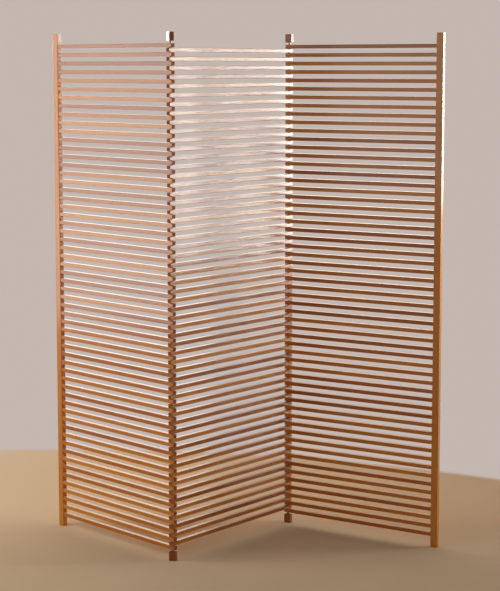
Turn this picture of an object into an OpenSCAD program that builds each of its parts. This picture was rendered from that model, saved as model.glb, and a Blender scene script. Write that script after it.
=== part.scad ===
// Folding room divider: three panels of slender horizontal slats, joined at two corners.
// At each corner the slats of the two panels interleave on one upright steel rod, with a
// thin washer between them, so the panels swing about the rod like the leaves of a hinge.
// The free ends of the outer panels are full-height posts. Each rod is closed by a wooden
// foot block and top block, offcuts of the post section, which screw onto its ends.
// Millimetres, +Z up. The origin is the centre of the footprint, on the floor.

/* [Panels] */
// Length of the left panel, from the front corner's axis to the outer face of its post
left_len = 600; // [300:10:900]
// Length of the middle panel, from corner axis to corner axis
middle_len = 600; // [300:10:900]
// Length of the right panel, from the back corner's axis to the outer face of its post
right_len = 600; // [300:10:900]
// Number of slats in each outer panel, one more than in the middle panel
slat_count = 58; // [14:1:70]

/* [Slats] */
// Height of a slat
slat_h = 13.5; // [8:0.5:24]
// Depth of a slat through the panel
slat_d = 15; // [12:0.5:24]
// Length of slat that runs past the rod's axis at a corner
slat_overhang = 12; // [8:0.5:20]

/* [Posts and blocks] */
// Width of an end post along its panel
post_w = 25; // [22:1:60]
// Depth of an end post through its panel
post_d = 18; // [12:0.5:24]
// Height of each foot and top block
block_h = 30; // [20:1:60]
// Length of a block's long side
block_w = 25; // [18:1:40]
// Length of a block's short side
block_d = 18; // [12:0.5:24]
// Width of the small chamfer along the edges of all wooden pieces
edge_ease = 0.8; // [0.2:0.1:1.5]

/* [Corner rods] */
// Diameter of the rod on which the slats turn
rod_dia = 6; // [4:0.5:7]
// Radial running clearance of the slats, washers and collars on the rod
rod_clearance = 0.1; // [0.05:0.05:0.1]
// Thickness of the washer between neighbouring slats
washer_h = 1.4; // [0.5:0.1:3]
// Outer diameter of a washer
washer_dia = 10; // [9:0.5:12]
// Height of the collar between a block and the nearest slat
collar_h = 8.2; // [3:0.1:20]
// Outer diameter of a collar
collar_dia = 9; // [8.5:0.5:12]
// Running clearance between a slat and the washer or collar above or below it
layer_play = 0.05; // [0.02:0.01:0.2]
// Length of the threaded insert inside a block
insert_len = 15; // [8:1:18]
// Outer diameter of the threaded insert
insert_dia = 8.5; // [8:0.5:9]

/* [Dowels] */
// Diameter of the dowel that joins a slat to its post
dowel_dia = 6; // [4:0.5:6]
// Length of the dowel, half in the slat and half in the post
dowel_len = 30; // [16:2:38]
// Radial glue gap around dowels and inserts
glue_gap = 0.05; // [0.02:0.01:0.1]
// Depth that a blind hole runs on past the end of what it holds
hole_relief = 0.5; // [0.2:0.1:0.8]

/* [Stance] */
// Angle between the left and middle panels at the front corner
front_angle = 89; // [30:0.5:180]
// Angle between the middle and right panels at the back corner
back_angle = 102.5; // [30:0.5:180]
// Direction from the front corner to the back corner, from +X towards +Y
middle_heading = 44.5; // [0:0.5:90]
// Direction of the long side of the front foot block, which turns freely with its rod
front_foot_heading = -20; // [-180:1:180]
// Direction of the long side of the front top block
front_top_heading = 109; // [-180:1:180]
// Direction of the long side of the back foot block
back_foot_heading = -33; // [-180:1:180]
// Direction of the long side of the back top block
back_top_heading = -33; // [-180:1:180]

/* [Hidden] */
$fn = 48;
// How far a cut runs past the face that it opens
cut = 1;
// Each panel's slats are drawn in banks, from the bottom up
bank_count = 12;
panels = ["left", "middle", "right"];

left_heading = middle_heading + front_angle;
right_heading = middle_heading + 180 + back_angle;

// Heights: block, collar, the interleaved slats with their washers, collar, block
slat_step = slat_h + washer_h + 2 * layer_play;
layer_count = 2 * slat_count - 1;
stack_z = block_h + collar_h + layer_play;
stack_top = stack_z + (layer_count - 1) * slat_step + slat_h;
screen_h = stack_top + layer_play + collar_h + block_h;

// Bores
rod_hole_dia = rod_dia + 2 * rod_clearance;
dowel_hole_dia = dowel_dia + 2 * glue_gap;
dowel_hole_depth = dowel_len / 2 + hole_relief;

// Outline of a rectangle, centred, with its four corners chamfered
function eased(w, d) = let (x = w / 2, y = d / 2, e = edge_ease) [
    [x - e, -y], [x, e - y], [x, y - e], [x - e, y],
    [e - x, y], [-x, y - e], [-x, e - y], [e - x, -y]
];

function turned(points, angle, at) = [
    for (p = points)
        [p.x * cos(angle) - p.y * sin(angle), p.x * sin(angle) + p.y * cos(angle)] + at
];

// Height of the underside of a slat: the outer panels have the even layers, the middle the odd
function slat_z(panel, i) = stack_z + (2 * i + (panel == "middle" ? 1 : 0)) * slat_step;

function slats_in(panel) = panel == "middle" ? slat_count - 1 : slat_count;

// First slat of a bank, counted from 0, with the slats shared out evenly
function bank_start(panel, bank) = floor((bank - 1) * slats_in(panel) / bank_count);

function bank_name(panel, bank) = str(panel, "_slats_", bank < 10 ? "0" : "", bank);

// The corners and the footprint, with the front corner at 0, 0
front_at = [0, 0];
back_at = middle_len * [cos(middle_heading), sin(middle_heading)];
slat_end = [for (side = [-1, 1]) [-slat_overhang, side * slat_d / 2]];
far_slat_end = [for (p = slat_end) [middle_len - p.x, p.y]];
footprint = concat(
    turned(slat_end, left_heading, front_at),
    turned(slat_end, middle_heading, front_at),
    turned(far_slat_end, middle_heading, front_at),
    turned(slat_end, right_heading, back_at),
    turned([for (p = eased(post_w, post_d)) p + [left_len - post_w / 2, 0]], left_heading, front_at),
    turned([for (p = eased(post_w, post_d)) p + [right_len - post_w / 2, 0]], right_heading, back_at),
    turned(eased(block_w, block_d), front_foot_heading, front_at),
    turned(eased(block_w, block_d), front_top_heading, front_at),
    turned(eased(block_w, block_d), back_foot_heading, back_at),
    turned(eased(block_w, block_d), back_top_heading, back_at)
);
xs = [for (p = footprint) p.x];
ys = [for (p = footprint) p.y];
centre = [(min(xs) + max(xs)) / 2, (min(ys) + max(ys)) / 2];

// Places, each with the piece drawn along +X from the corner's axis
module at_front(heading = 0) {
    translate(front_at - centre) rotate([0, 0, heading]) children();
}

module at_back(heading = 0) {
    translate(back_at - centre) rotate([0, 0, heading]) children();
}

module in_panel(panel) {
    if (panel == "left") at_front(left_heading) children();
    if (panel == "middle") at_front(middle_heading) children();
    if (panel == "right") at_back(right_heading) children();
}

// Shared shapes
module bar(from, to, width, height) {
    translate([from, 0, height / 2])
        rotate([90, 0, 90])
            linear_extrude(to - from) polygon(eased(width, height));
}

module ring(outer_dia, inner_dia, height) {
    difference() {
        cylinder(d = outer_dia, h = height);
        translate([0, 0, -cut]) cylinder(d = inner_dia, h = height + 2 * cut);
    }
}

module rod_hole(x) {
    translate([x, 0, -cut]) cylinder(d = rod_hole_dia, h = slat_h + 2 * cut);
}

// A dowel's length along X, centred on the joint between slat and post
module dowel_space(x, length, dia) {
    translate([x - length / 2, 0, slat_h / 2])
        rotate([0, 90, 0]) cylinder(d = dia, h = length);
}

// Slats
module outer_slat(length) {
    joint_x = length - post_w;
    difference() {
        bar(-slat_overhang, joint_x, slat_d, slat_h);
        rod_hole(0);
        dowel_space(joint_x, 2 * dowel_hole_depth, dowel_hole_dia);
    }
}

module middle_slat() {
    difference() {
        bar(-slat_overhang, middle_len + slat_overhang, slat_d, slat_h);
        rod_hole(0);
        rod_hole(middle_len);
    }
}

module slat_bank(panel, bank) {
    in_panel(panel)
        for (i = [bank_start(panel, bank):bank_start(panel, bank + 1) - 1])
            translate([0, 0, slat_z(panel, i)]) children();
}

module left_slats(bank) {
    color("#bd7a47") slat_bank("left", bank) outer_slat(left_len);
}

module middle_slats(bank) {
    color("#b06c3c") slat_bank("middle", bank) middle_slat();
}

module right_slats(bank) {
    color("#b87443") slat_bank("right", bank) outer_slat(right_len);
}

// End posts, with a blind dowel hole for each slat
module end_post(panel, length) {
    in_panel(panel)
        difference() {
            translate([length - post_w / 2, 0, 0])
                linear_extrude(screen_h) polygon(eased(post_w, post_d));
            for (i = [0:slat_count - 1])
                translate([0, 0, slat_z(panel, i)])
                    dowel_space(length - post_w, 2 * dowel_hole_depth, dowel_hole_dia);
        }
}

module left_end_post() {
    color("#a8653a") end_post("left", left_len);
}

module right_end_post() {
    color("#a8653a") end_post("right", right_len);
}

module dowels(panel, length) {
    in_panel(panel)
        for (i = [0:slat_count - 1])
            translate([0, 0, slat_z(panel, i)])
                dowel_space(length - post_w, dowel_len, dowel_dia);
}

module left_dowels() {
    color("#d8b483") dowels("left", left_len);
}

module right_dowels() {
    color("#d8b483") dowels("right", right_len);
}

// Corner hardware. The rod reaches to the inner end of each block's insert
module pivot_rod() {
    color("#9a9c9e")
        translate([0, 0, block_h - insert_len])
            cylinder(d = rod_dia, h = screen_h - 2 * (block_h - insert_len));
}

module washers() {
    color("#5a5450")
        for (i = [1:layer_count - 1])
            translate([0, 0, stack_z + i * slat_step - layer_play - washer_h])
                ring(washer_dia, rod_hole_dia, washer_h);
}

// The foot of a corner: a block on the floor, the insert in its top and the collar above
module collar() {
    color("#8c8e90")
        translate([0, 0, block_h]) ring(collar_dia, rod_hole_dia, collar_h);
}

module insert() {
    color("#c2a15a")
        translate([0, 0, block_h - insert_len])
            ring(insert_dia, rod_dia + 2 * glue_gap, insert_len);
}

module block() {
    hole_depth = insert_len + hole_relief;
    color("#9c5a30")
        difference() {
            linear_extrude(block_h) polygon(eased(block_w, block_d));
            translate([0, 0, block_h - hole_depth])
                cylinder(d = insert_dia + 2 * glue_gap, h = hole_depth + cut);
        }
}

// The top of a corner is its foot, upside down
module at_top() {
    translate([0, 0, screen_h]) mirror([0, 0, 1]) children();
}

left_end_post();
left_dowels();
right_end_post();
right_dowels();

for (bank = [1:bank_count]) {
    left_slats(bank);
    middle_slats(bank);
    right_slats(bank);
}

at_front() pivot_rod();  // front_pivot_rod
at_front() washers();  // front_washers
at_front() collar();  // front_bottom_collar
at_front() at_top() collar();  // front_top_collar
at_front(front_foot_heading) block();  // front_foot_block
at_front() insert();  // front_foot_insert
at_front(front_top_heading) at_top() block();  // front_top_block
at_front() at_top() insert();  // front_top_insert

at_back() pivot_rod();  // back_pivot_rod
at_back() washers();  // back_washers
at_back() collar();  // back_bottom_collar
at_back() at_top() collar();  // back_top_collar
at_back(back_foot_heading) block();  // back_foot_block
at_back() insert();  // back_foot_insert
at_back(back_top_heading) at_top() block();  // back_top_block
at_back() at_top() insert();  // back_top_insert
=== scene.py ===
from math import atan2, cos, pi, radians, sin

import bpy
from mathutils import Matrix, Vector


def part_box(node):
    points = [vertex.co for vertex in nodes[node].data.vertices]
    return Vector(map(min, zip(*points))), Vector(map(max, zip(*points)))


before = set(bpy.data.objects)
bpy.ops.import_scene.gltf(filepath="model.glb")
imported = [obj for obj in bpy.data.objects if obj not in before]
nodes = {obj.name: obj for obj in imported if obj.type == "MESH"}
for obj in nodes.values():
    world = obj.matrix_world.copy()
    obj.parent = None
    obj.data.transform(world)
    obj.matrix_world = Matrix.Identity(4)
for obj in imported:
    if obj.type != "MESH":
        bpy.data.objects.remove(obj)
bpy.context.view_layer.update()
print("frame loaded:", len(nodes), "nodes")


# Camera, where the photograph was taken from: at eye height, five metres in front

cameraView = {
    "place": (-0.2634, -5.3132, 1.6900),  # metres
    "heading": 3.02,  # degrees from +Y towards +X
    "downTilt": 6.0,  # degrees below level
    "lens": 93.06,  # mm, for the long side of a 36 mm frame
    "shiftY": -0.1184,  # the photograph's uprights hardly converge
    "farthest": 60,  # metres
}


def makeCamera(view):
    camera = bpy.data.objects.new("camera", bpy.data.cameras.new("camera"))
    bpy.context.scene.collection.objects.link(camera)
    heading, tilt = radians(view["heading"]), radians(view["downTilt"])
    forward = Vector((sin(heading) * cos(tilt), cos(heading) * cos(tilt), -sin(tilt)))
    camera.location = view["place"]
    camera.rotation_euler = forward.to_track_quat("-Z", "Y").to_euler()
    camera.data.lens = view["lens"]
    camera.data.shift_y = view["shiftY"]
    camera.data.clip_end = view["farthest"]
    bpy.context.scene.camera = camera


makeCamera(cameraView)
bpy.context.scene.view_settings.view_transform = "Standard"
print("camera placed")


# Node and colour helpers

def toLinear(hexColor):
    # The sRGB curve undone, with full alpha
    channels = [int(hexColor[i:i + 2], 16) / 255 for i in (1, 3, 5)]
    linear = [c / 12.92 if c <= 0.04045 else ((c + 0.055) / 1.055) ** 2.4 for c in channels]
    return (*linear, 1)


def addNode(tree, kind, inputs=None, **settings):
    # Inputs by name or number: a socket is linked, anything else is its value
    node = tree.nodes.new("ShaderNode" + kind)
    for name, value in settings.items():
        setattr(node, name, value)
    for name, value in (inputs or {}).items():
        if isinstance(value, bpy.types.NodeSocket):
            tree.links.new(value, node.inputs[name])
        else:
            node.inputs[name].default_value = value
    return node


def newMaterial(name):
    material = bpy.data.materials.new(name)
    material.use_nodes = True
    material.node_tree.nodes.clear()
    return material, material.node_tree


def perMetre(width):
    # A texture's scale for features this many millimetres wide
    return 1000 / width


noiseMiddle = (0.25, 0.75)  # where nearly all of a noise texture's values lie


# Wood: cherry, planed, sanded and oiled. The oil leaves a satin surface that shows each lamp
# as a soft streak, the grain runs as fine lines along each piece, and every layer has its own tone

cherry = {
    "tones": ["#945014", "#a35c19", "#ae691f", "#b97729", "#a8641d"],  # dark heart to pale edge
    "toneShift": 0.10,  # how much a tone drifts along one piece
    "driftScale": 24,  # patches of tone in a metre
    "driftRange": (0.3, 0.7),  # of the noise: beyond it the tone drifts no further
    "ringWidth": 2.4,  # mm between growth rings
    "ringWander": 1.6,  # how far the rings stray from round
    "ringWanderScale": 0.35,
    "ringDepth": 0.17,  # how much darker the late wood is
    "fibreWidth": 0.7,  # mm, coarser than real fibres so that they show
    "fibreDepth": 0.16,
    "poreWidth": 0.35,  # mm, drawn several times too wide to show at all
    "poreRange": (0.60, 0.72),  # of the noise: it opens into a pore from here to here
    "poreDepth": 0.22,
    # How fast each pattern changes along the grain, against 1 across it
    "paceAlong": {"drift": 0.25, "ring": 0.02, "fibre": 0.012, "pore": 0.08},
    "heart": (0, 0.02, 0.03),  # metres, keeps the heart of the log out of every piece
    "logSpread": (3.1, 0.09, 0.09),  # metres of log that the pieces are cut from
    "endGrainAndShade": "#814013",  # soaks up the oil and takes no polish; darker partly for that and partly as painted shade where the slat ends meet in the corners
    "endFacing": (0.8, 0.95),  # how squarely a face looks along the grain to be an end
    "endDullness": 0.45,  # added to the roughness there
    "roughness": (0.25, 0.36),
    "ior": 1.5,
    "specular": 0.26,  # open pores break up the reflection
    "wax": 0.50,  # a buffed coat over the oil
    "waxRoughness": 0.16,
    "reliefStrength": 0.35,
    "reliefHeight": 0.0001,  # metres
}

# The corner blocks take darker tones and a darker end grain than the rest of the cherry: painted shade
paintedShadeCherry = dict(cherry, endGrainAndShade="#50290a",
                  tones=["#6c3007", "#7a3908", "#86420a", "#904e10", "#7e400a"])

waveStep = 0.314  # metres between the wave texture's rings at a scale of 1
uprightLimit = 0.1  # a face whose normal rises less than this is upright


def grainHeading(node):
    # The largest upright face lies along the piece
    upright = [face for face in node.data.polygons if abs(face.normal.z) < uprightLimit]
    normal = max(upright, key=lambda face: face.area).normal
    return atan2(normal.y, normal.x) + pi / 2


def makeWood(name, sample, look, upright=False, seed=0.0, stack=None):
    # sample is one node of the group, stack the first height and the pitch of its layers
    material, tree = newMaterial(name)
    low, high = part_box(sample)
    middle = (low + high) / 2
    if stack:
        middle.z = 0
    heading = grainHeading(nodes[sample])
    place = addNode(tree, "TexCoord")
    centred = addNode(tree, "VectorMath", {0: place.outputs["Object"], 1: middle}, operation="SUBTRACT")
    turned = addNode(tree, "VectorRotate", {"Vector": centred.outputs[0], "Angle": -heading},
                     rotation_type="Z_AXIS")
    facing = addNode(tree, "VectorRotate", {"Vector": place.outputs["Normal"], "Angle": -heading},
                     rotation_type="Z_AXIS")
    axes = addNode(tree, "SeparateXYZ", {0: turned.outputs[0]})
    sides = addNode(tree, "SeparateXYZ", {0: facing.outputs[0]})

    # Each layer of slats is its own piece of timber: its number picks tone and cut
    timber, height = seed, axes.outputs["Z"]
    if stack:
        base, pitch = stack
        raised = addNode(tree, "Math", {0: height, 1: base}, operation="SUBTRACT")
        layer = addNode(tree, "Math", {0: raised.outputs[0], 1: pitch}, operation="DIVIDE")
        number = addNode(tree, "Math", {0: layer.outputs[0]}, operation="FLOOR")
        timber = addNode(tree, "Math", {0: number.outputs[0], 1: seed}, operation="ADD").outputs[0]
        share = addNode(tree, "Math", {0: layer.outputs[0], 1: number.outputs[0]}, operation="SUBTRACT")
        height = addNode(tree, "Math", {0: share.outputs[0], 1: pitch}, operation="MULTIPLY").outputs[0]
    dice = addNode(tree, "TexWhiteNoise", {"W": timber}, noise_dimensions="1D")

    # The grain runs along the first of these axes
    across = axes.outputs["Y"]
    if upright:
        along = addNode(tree, "CombineXYZ", {"X": height, "Y": across, "Z": axes.outputs["X"]})
        ends = sides.outputs["Z"]
    else:
        along = addNode(tree, "CombineXYZ", {"X": axes.outputs["X"], "Y": across, "Z": height})
        ends = sides.outputs["X"]
    jump = addNode(tree, "VectorMath", {0: dice.outputs["Color"], 1: look["logSpread"]},
                   operation="MULTIPLY")
    board = addNode(tree, "VectorMath", {0: along.outputs[0], 1: jump.outputs[0]}, operation="ADD")
    offHeart = addNode(tree, "VectorMath", {0: board.outputs[0], 1: look["heart"]}, operation="ADD")

    # Rings lie round the heart, and every pattern is drawn out along the grain
    spaces = {}
    for pattern, pace in look["paceAlong"].items():
        start = offHeart if pattern == "ring" else board
        spaces[pattern] = addNode(tree, "VectorMath", {0: start.outputs[0], 1: (pace, 1, 1)},
                                  operation="MULTIPLY").outputs[0]
    rings = addNode(tree, "TexWave", {
        "Vector": spaces["ring"], "Scale": waveStep * perMetre(look["ringWidth"]),
        "Distortion": look["ringWander"], "Detail": 2, "Detail Scale": look["ringWanderScale"]},
        wave_type="RINGS", rings_direction="X", wave_profile="SAW")
    fibres = addNode(tree, "TexNoise", {
        "Vector": spaces["fibre"], "Scale": perMetre(look["fibreWidth"]), "Detail": 3, "Roughness": 0.6})
    poreField = addNode(tree, "TexNoise", {
        "Vector": spaces["pore"], "Scale": perMetre(look["poreWidth"]), "Detail": 1})
    shut, opened = look["poreRange"]
    pores = addNode(tree, "MapRange", {
        "Value": poreField.outputs["Fac"], "From Min": shut, "From Max": opened})

    # Tone: one throw of the dice for the piece, and a slow drift along it
    drift = addNode(tree, "TexNoise", {
        "Vector": spaces["drift"], "Scale": look["driftScale"], "Detail": 3, "Roughness": 0.55})
    darkest, palest = look["driftRange"]
    driftStep = addNode(tree, "MapRange", {
        "Value": drift.outputs["Fac"], "From Min": darkest, "From Max": palest,
        "To Min": -look["toneShift"], "To Max": look["toneShift"]})
    tonePlace = addNode(tree, "Math", {0: dice.outputs["Value"], 1: driftStep.outputs["Result"]},
                        operation="ADD")
    tones = addNode(tree, "ValToRGB", {"Fac": tonePlace.outputs[0]})
    ramp = tones.color_ramp
    while len(ramp.elements) < len(look["tones"]):
        ramp.elements.new(0.5)
    for i, tone in enumerate(look["tones"]):
        ramp.elements[i].position = i / (len(look["tones"]) - 1)
        ramp.elements[i].color = toLinear(tone)

    # Late wood, fibres and pores darken it
    shade = None
    for pattern, depth in ((rings.outputs["Fac"], look["ringDepth"]),
                           (fibres.outputs["Fac"], look["fibreDepth"]),
                           (pores.outputs["Result"], look["poreDepth"])):
        part = addNode(tree, "MapRange", {
            "Value": pattern, "To Min": 1 + depth / 2, "To Max": 1 - depth / 2})
        if shade:
            part = addNode(tree, "Math", {0: shade.outputs[0], 1: part.outputs[0]}, operation="MULTIPLY")
        shade = part
    grainColor = addNode(tree, "VectorMath", {0: tones.outputs["Color"], "Scale": shade.outputs[0]},
                         operation="SCALE")

    # End grain: its own darker tone, partly real and partly painted shade
    endMask = addNode(tree, "Math", {0: ends}, operation="ABSOLUTE")
    slanted, square = look["endFacing"]
    endStep = addNode(tree, "MapRange", {
        "Value": endMask.outputs[0], "From Min": slanted, "From Max": square})
    endToneAndShade = addNode(tree, "VectorMath", {
        0: toLinear(look["endGrainAndShade"])[:3], "Scale": shade.outputs[0]}, operation="SCALE")
    color = addNode(tree, "Mix", {
        "Factor": endStep.outputs["Result"], "A": grainColor.outputs[0], "B": endToneAndShade.outputs[0]},
        data_type="RGBA")

    # Gloss and relief
    smooth, dull = look["roughness"]
    faceGloss = addNode(tree, "MapRange", {
        "Value": fibres.outputs["Fac"], "From Min": noiseMiddle[0], "From Max": noiseMiddle[1],
        "To Min": smooth, "To Max": dull})
    gloss = addNode(tree, "Math", {
        0: endStep.outputs["Result"], 1: look["endDullness"], 2: faceGloss.outputs["Result"]},
        operation="MULTIPLY_ADD")
    wax = addNode(tree, "MapRange", {
        "Value": endStep.outputs["Result"], "To Min": look["wax"], "To Max": 0})
    relief = addNode(tree, "Math", {0: fibres.outputs["Fac"], 1: pores.outputs["Result"]},
                     operation="SUBTRACT")
    bump = addNode(tree, "Bump", {
        "Height": relief.outputs[0], "Strength": look["reliefStrength"],
        "Distance": look["reliefHeight"]})
    surface = addNode(tree, "BsdfPrincipled", {
        "Base Color": color.outputs["Result"], "Roughness": gloss.outputs[0], "IOR": look["ior"],
        "Specular IOR Level": look["specular"], "Coat Weight": wax.outputs["Result"],
        "Coat Roughness": look["waxRoughness"], "Normal": bump.outputs[0]})
    addNode(tree, "OutputMaterial", {"Surface": surface.outputs[0]})
    return material


# A seed picks the tones and cuts of its pieces. Any number will do, but the slats' seeds lie further
# apart than a panel has layers, so that no panel repeats another
timberSeeds = {
    "slats": {"left": 11.0, "middle": 211.0, "right": 411.0},
    "posts": {"left": 5.0, "right": 8.0},
    "blocks": {"front": 21.0, "back": 34.0},
}

slatClearance = 0.0005  # metres: a layer starts in the washer's gap, clear of every slat's face
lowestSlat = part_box("left_slats_01")[0].z
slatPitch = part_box("middle_slats_01")[0].z - lowestSlat  # from one layer to the next
slatStack = (lowestSlat - slatClearance, slatPitch)

slatWood = {}
for panel, seed in timberSeeds["slats"].items():
    slatWood[panel] = makeWood("oiledCherrySlats_" + panel, panel + "_slats_01", cherry,
                               seed=seed, stack=slatStack)
postWood = {}
for side, seed in timberSeeds["posts"].items():
    postWood[side] = makeWood("oiledCherryPost_" + side, side + "_end_post", cherry,
                              upright=True, seed=seed)
# The blocks' darker cherry is painted shade
blockWood = {}
for corner, seed in timberSeeds["blocks"].items():
    blockWood[corner] = makeWood("oiledCherryBlock_" + corner, corner + "_foot_block", paintedShadeCherry,
                                 upright=True, seed=seed)
print("cherry made")


# Beech for the dowels: bought as planed and turned rod, left plain because glue has to hold it.
# It is pale and matt, with short darker flecks along the rod

beech = {
    "color": "#d8bf98",
    "fleck": "#b8946a",
    "fleckLength": 4.0,  # mm
    "fleckWidth": 0.8,  # mm
    "fleckRange": (0.5, 0.68),  # of the noise: it darkens into a fleck from here to here
    "roughness": 0.65,
    "ior": 1.5,
    "reliefStrength": 0.3,
    "reliefHeight": 0.0001,  # metres
}


def makeBeech(name, sample, look):
    material, tree = newMaterial(name)
    place = addNode(tree, "TexCoord")
    heading = grainHeading(nodes[sample])
    turned = addNode(tree, "VectorRotate", {"Vector": place.outputs["Object"], "Angle": -heading},
                     rotation_type="Z_AXIS")
    pace = look["fleckWidth"] / look["fleckLength"]
    stretched = addNode(tree, "VectorMath", {0: turned.outputs[0], 1: (pace, 1, 1)},
                        operation="MULTIPLY")
    flecks = addNode(tree, "TexNoise", {
        "Vector": stretched.outputs[0], "Scale": perMetre(look["fleckWidth"]), "Detail": 2})
    plain, flecked = look["fleckRange"]
    fleckMask = addNode(tree, "MapRange", {
        "Value": flecks.outputs["Fac"], "From Min": plain, "From Max": flecked})
    color = addNode(tree, "Mix", {
        "Factor": fleckMask.outputs["Result"], "A": toLinear(look["color"]),
        "B": toLinear(look["fleck"])}, data_type="RGBA")
    bump = addNode(tree, "Bump", {
        "Height": flecks.outputs["Fac"], "Strength": look["reliefStrength"],
        "Distance": look["reliefHeight"]})
    surface = addNode(tree, "BsdfPrincipled", {
        "Base Color": color.outputs["Result"], "IOR": look["ior"], "Roughness": look["roughness"],
        "Normal": bump.outputs[0]})
    addNode(tree, "OutputMaterial", {"Surface": surface.outputs[0]})
    return material


dowelWood = {}
for side in ("left", "right"):
    dowelWood[side] = makeBeech("plainBeechDowels_" + side, side + "_slats_01", beech)


# Metal: what made the surface shows as the run of its marks. A drawn rod has streaks along it, a
# turned collar or insert has rings round it, and a stamped washer is dull with a mottle that runs
# no way. markWidth is in mm, several times coarser than real tool marks so that they show

lengthwise = (1, 1, 0.01)
roundAbout = (0.01, 0.01, 1)
noWay = (1, 1, 1)

metals = {
    "drawnSteel": {"color": "#c2bfb9", "tarnish": "#8f8a83", "markWidth": 0.25, "run": lengthwise,
                   "roughness": (0.22, 0.36), "bump": 0.25},
    "stampedSteel": {"color": "#7d766e", "tarnish": "#4d453e", "markWidth": 0.9, "run": noWay,
                     "roughness": (0.45, 0.62), "bump": 0.20},
    "turnedSteel": {"color": "#8a7a69", "tarnish": "#5a4c40", "markWidth": 0.30, "run": roundAbout,
                    "roughness": (0.20, 0.32), "bump": 0.35},
    "turnedBrass": {"color": "#d4ab62", "tarnish": "#94713a", "markWidth": 0.30, "run": roundAbout,
                    "roughness": (0.24, 0.38), "bump": 0.35},
}

wear = {
    "stainScale": 180,  # stains in a metre
    "stainRange": (0.42, 0.70),  # of the noise: from clean to tarnished
    "markHeight": 0.00005,  # metres
}


def makeMetal(name, look):
    material, tree = newMaterial(name)
    place = addNode(tree, "TexCoord")
    stretched = addNode(tree, "VectorMath", {0: place.outputs["Object"], 1: look["run"]},
                        operation="MULTIPLY")
    marks = addNode(tree, "TexNoise", {
        "Vector": stretched.outputs[0], "Scale": perMetre(look["markWidth"]), "Detail": 2,
        "Roughness": 0.6})
    stain = addNode(tree, "TexNoise", {
        "Vector": place.outputs["Object"], "Scale": wear["stainScale"], "Detail": 4})
    clean, tarnished = wear["stainRange"]
    stainMask = addNode(tree, "MapRange", {
        "Value": stain.outputs["Fac"], "From Min": clean, "From Max": tarnished})
    color = addNode(tree, "Mix", {
        "Factor": stainMask.outputs["Result"], "A": toLinear(look["color"]),
        "B": toLinear(look["tarnish"])}, data_type="RGBA")
    smooth, dull = look["roughness"]
    gloss = addNode(tree, "MapRange", {
        "Value": marks.outputs["Fac"], "From Min": noiseMiddle[0], "From Max": noiseMiddle[1],
        "To Min": smooth, "To Max": dull})
    bump = addNode(tree, "Bump", {
        "Height": marks.outputs["Fac"], "Strength": look["bump"], "Distance": wear["markHeight"]})
    surface = addNode(tree, "BsdfPrincipled", {
        "Base Color": color.outputs["Result"], "Roughness": gloss.outputs["Result"], "Metallic": 1,
        "Normal": bump.outputs[0]})
    addNode(tree, "OutputMaterial", {"Surface": surface.outputs[0]})
    return material


metal = {name: makeMetal(name, look) for name, look in metals.items()}
print("beech and metals made")


# Each node takes its finish, and the wood gets its arrises eased as with a pass of fine paper

arris = {
    "width": 0.0004,  # metres
    "segments": 2,
    "sharperThan": 35,  # degrees: only real edges are eased
    "weld": 1e-6,  # metres: joins the corners of an imported mesh
}


def finishOf(name):
    side = name.split("_")[0]
    if "_slats_" in name:
        return slatWood[side]
    if name.endswith("_end_post"):
        return postWood[side]
    if name.endswith("_block"):
        return blockWood[side]
    if name.endswith("_dowels"):
        return dowelWood[side]
    if name.endswith("_pivot_rod"):
        return metal["drawnSteel"]
    if name.endswith("_washers"):
        return metal["stampedSteel"]
    if name.endswith("_collar"):
        return metal["turnedSteel"]
    return metal["turnedBrass"]


def easeArrises(node):
    weld = node.modifiers.new("weld", "WELD")
    weld.merge_threshold = arris["weld"]
    bevel = node.modifiers.new("arris", "BEVEL")
    bevel.width = arris["width"]
    bevel.segments = arris["segments"]
    bevel.limit_method = "ANGLE"
    bevel.angle_limit = radians(arris["sharperThan"])
    bevel.use_clamp_overlap = False
    node.modifiers.new("flatFaces", "WEIGHTED_NORMAL")


for name, node in nodes.items():
    node.data.materials.clear()
    node.data.materials.append(finishOf(name))
    if name.endswith(("_block", "_end_post")) or "_slats_" in name:
        easeArrises(node)
print("finishes given")


# Floor, backdrop and light

studio = {
    "wall": "#c4b7b0",  # pale, a little warm
    "floor": "#ccb090",  # pale sand
    "floorRoughness": 0.6,
    "speckleScale": 260,  # speckles in a metre
    "speckleTone": (0.96, 1.04),
    "wallMiddle": (-0.90, -2.30, 0),  # the backdrop starts on a wide circle behind the screen
    "wallRadius": (3.60, 3.66),  # metres
    "fadeRadius": (1.2, 2.8),  # metres from the screen, where the floor dies away elsewhere
    "floorSize": 30,  # metres
    "fill": 0.24,  # strength of the even light from all round
}

wideSpread = 180  # degrees: a bare panel
softboxSpread = 80  # degrees: a panel with a grid

lamps = {
    "leftBack": {"place": (-1.28, 2.3, 1.78), "aim": (-0.85, 0, 0.9), "size": (2.6, 2.0),
                 "power": 37, "color": "#f9f7f2", "spread": wideSpread},
    "leftHigh": {"place": (-2.25, 2.3, 1.85), "aim": (-0.26, -0.21, 1.78), "size": (0.5, 0.5),
                 "power": 4, "color": "#fdfaff", "spread": softboxSpread},
    "rightBack": {"place": (0.9, 2.3, 1.9), "aim": (0.2, 0, 0.9), "size": (1.8, 1.4),
                  "power": 22, "color": "#ffeeda", "spread": wideSpread},
    "rightSide": {"place": (2.8, 0.10, 1.55), "aim": (0, 0, 1.5), "size": (0.75, 1.8),
                  "power": 21, "color": "#f0f7f7", "spread": softboxSpread},
    "rightRear": {"place": (2.5, 1.45, 1.7), "aim": (0.4, -0.1, 1.5), "size": (0.7, 1.4),
                  "power": 7.8, "color": "#fff4ea", "spread": softboxSpread},
    "leftSide": {"place": (-2.3, 0.0, 1.43), "aim": (-0.4, 0, 1.2), "size": (1.0, 1.95),
                 "power": 28, "color": "#f3f6f4", "spread": wideSpread},
    "frontFill": {"place": (-2.4, -1.6, 1.7), "aim": (0.3, 0, 1.3), "size": (1.6, 1.6),
                  "power": 12, "color": "#fdf4ea", "spread": wideSpread},
}


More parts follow.
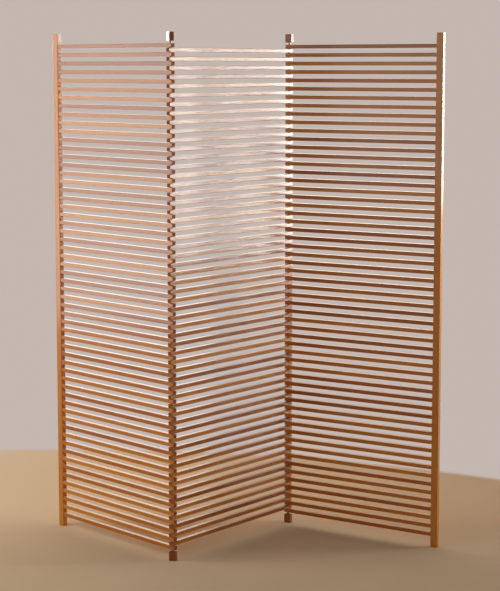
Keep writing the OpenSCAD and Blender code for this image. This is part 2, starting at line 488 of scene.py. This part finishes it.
def cameraSees(tree):
    # 1 for rays that show the background as it is: camera, mirror and see-through rays
    path = addNode(tree, "LightPath")
    seen = addNode(tree, "Math", {0: path.outputs["Is Camera Ray"], 1: path.outputs["Is Glossy Ray"]},
                   operation="MAXIMUM")
    return addNode(tree, "Math", {0: seen.outputs[0], 1: path.outputs["Is Transmission Ray"]},
                   operation="MAXIMUM").outputs[0]


def makeWorld():
    world = bpy.data.worlds.new("studio")
    world.use_nodes = True
    tree = world.node_tree
    tree.nodes.clear()
    light = addNode(tree, "Background", {"Color": (1, 1, 1, 1), "Strength": studio["fill"]})
    shown = addNode(tree, "Background", {"Color": toLinear(studio["wall"]), "Strength": 1})
    mixed = addNode(tree, "MixShader", {0: cameraSees(tree), 1: light.outputs[0], 2: shown.outputs[0]})
    addNode(tree, "OutputWorld", {"Surface": mixed.outputs[0]})
    bpy.context.scene.world = world


def makeFloor():
    bpy.ops.mesh.primitive_plane_add(size=studio["floorSize"])
    floor = bpy.context.object
    floor.name = "floor"
    material, tree = newMaterial("paleFloor")
    place = addNode(tree, "TexCoord")
    speckle = addNode(tree, "TexNoise", {
        "Vector": place.outputs["Object"], "Scale": studio["speckleScale"], "Detail": 2})
    darkest, palest = studio["speckleTone"]
    tone = addNode(tree, "MapRange", {
        "Value": speckle.outputs["Fac"], "To Min": darkest, "To Max": palest})
    color = addNode(tree, "VectorMath", {
        0: toLinear(studio["floor"])[:3], "Scale": tone.outputs["Result"]}, operation="SCALE")
    matte = addNode(tree, "BsdfDiffuse", {
        "Color": color.outputs[0], "Roughness": studio["floorRoughness"]})
    wall = addNode(tree, "Emission", {"Color": toLinear(studio["wall"]), "Strength": 1})

    # The backdrop takes over beyond either circle, and only for rays that show it
    screenMiddle = (0, 0, 0)
    edges = []
    for middle, (start, end) in ((studio["wallMiddle"], studio["wallRadius"]),
                                 (screenMiddle, studio["fadeRadius"])):
        away = addNode(tree, "VectorMath", {0: place.outputs["Object"], 1: middle},
                       operation="DISTANCE")
        edge = addNode(tree, "MapRange", {
            "Value": away.outputs["Value"], "From Min": start, "From Max": end},
            interpolation_type="SMOOTHSTEP")
        edges.append(edge.outputs["Result"])
    fade = addNode(tree, "Math", {0: edges[0], 1: edges[1]}, operation="MAXIMUM")
    shown = addNode(tree, "Math", {0: fade.outputs[0], 1: cameraSees(tree)}, operation="MULTIPLY")
    mixed = addNode(tree, "MixShader", {0: shown.outputs[0], 1: matte.outputs[0], 2: wall.outputs[0]})
    addNode(tree, "OutputMaterial", {"Surface": mixed.outputs[0]})
    floor.data.materials.append(material)


def makeLamp(name, lamp):
    data = bpy.data.lights.new(name, "AREA")
    data.shape = "RECTANGLE"
    data.size, data.size_y = lamp["size"]
    data.energy = lamp["power"]
    data.color = toLinear(lamp["color"])[:3]
    data.spread = radians(lamp["spread"])
    light = bpy.data.objects.new(name, data)
    bpy.context.scene.collection.objects.link(light)
    light.location = lamp["place"]
    aim = Vector(lamp["aim"]) - light.location
    light.rotation_euler = aim.to_track_quat("-Z", "Y").to_euler()
    light.visible_camera = False


makeWorld()
makeFloor()
for name, lamp in lamps.items():
    makeLamp(name, lamp)
print("studio lit")
